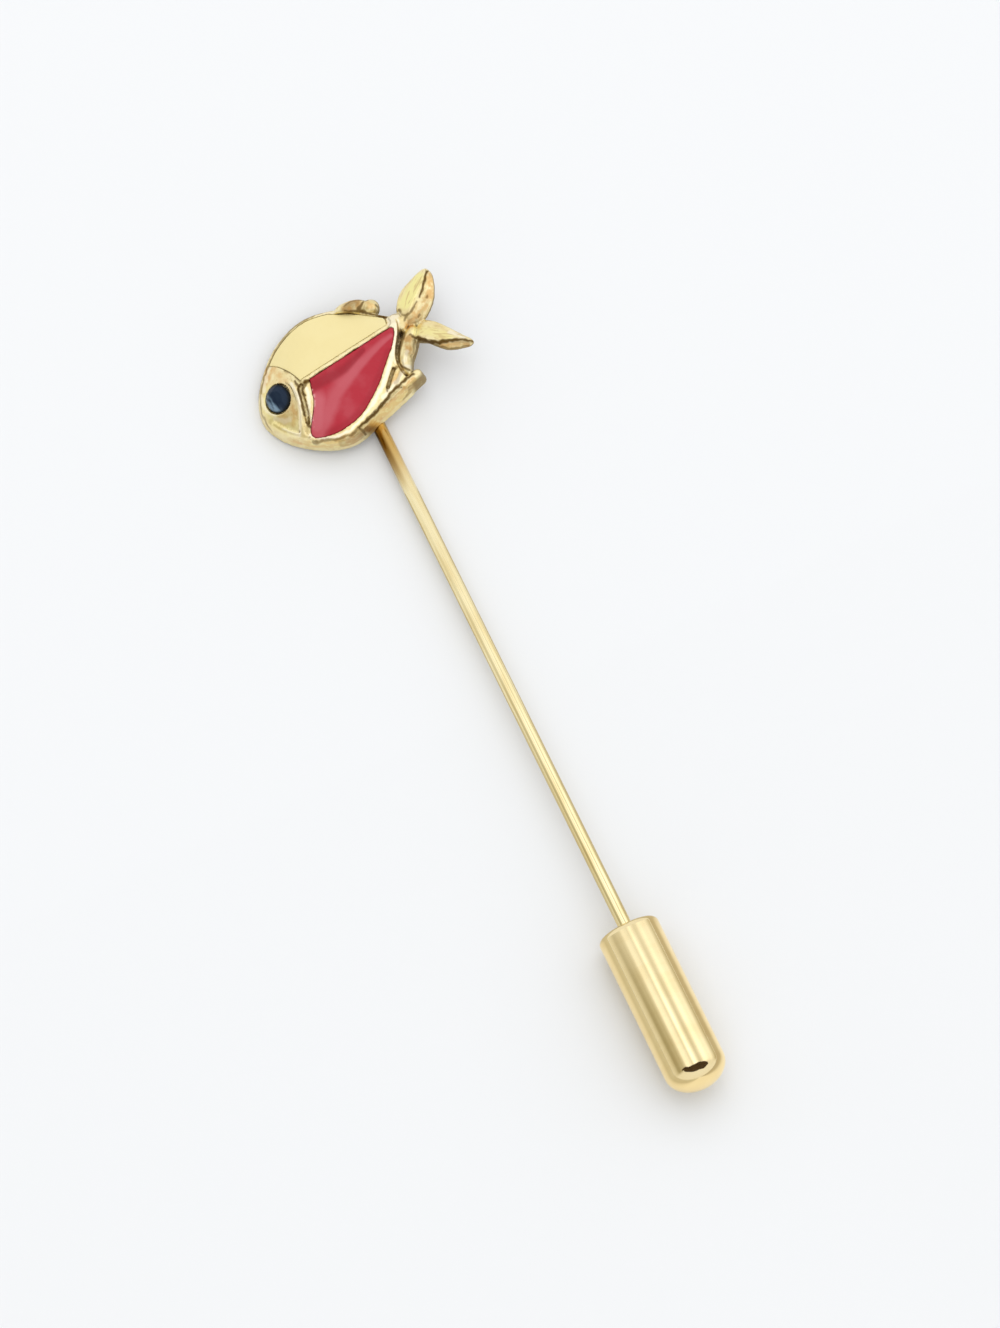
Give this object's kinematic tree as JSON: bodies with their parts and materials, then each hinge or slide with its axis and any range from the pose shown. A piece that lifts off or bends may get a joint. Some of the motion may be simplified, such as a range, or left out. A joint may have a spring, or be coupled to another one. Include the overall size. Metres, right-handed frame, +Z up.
{
  "type": "stick pin",
  "caption": "Gold-tone stick pin: a small cast whale with cream and crimson enamel and a dark blue stone eye, on a straight wire with a domed sliding clutch.",
  "frame": {"origin": "centre of the lying pin's footprint, on the surface that it lies on", "axes": "+Z is up, away from the surface; +Y points from the clutch towards the whale, along the wire's plan; +X points to the side of the whale's tail"},
  "size_m": [0.0176, 0.07, 0.0054],
  "materials": {
    "gold_plate": "cast brass with worn gold plating",
    "cream_enamel": "opaque cream enamel, glossy",
    "red_enamel": "opaque crimson enamel, glossy",
    "blue_stone": "dark blue faceted glass stone, foiled behind",
    "pale_gold_plate": "polished pale gold plate"
  },
  "bodies": {
    "pin": {"whale_body": "gold_plate", "cream_enamel": "cream_enamel", "red_enamel": "red_enamel", "eye_stone": "blue_stone"},
    "clutch": {"pin_clutch": "pale_gold_plate"}
  },
  "joints": [
    {"name": "clutch_slide", "type": "slide", "parent": "pin", "child": "clutch", "axis": [0, -0.9993, 0.0368], "range_m": [0, 0.02]}
  ]
}
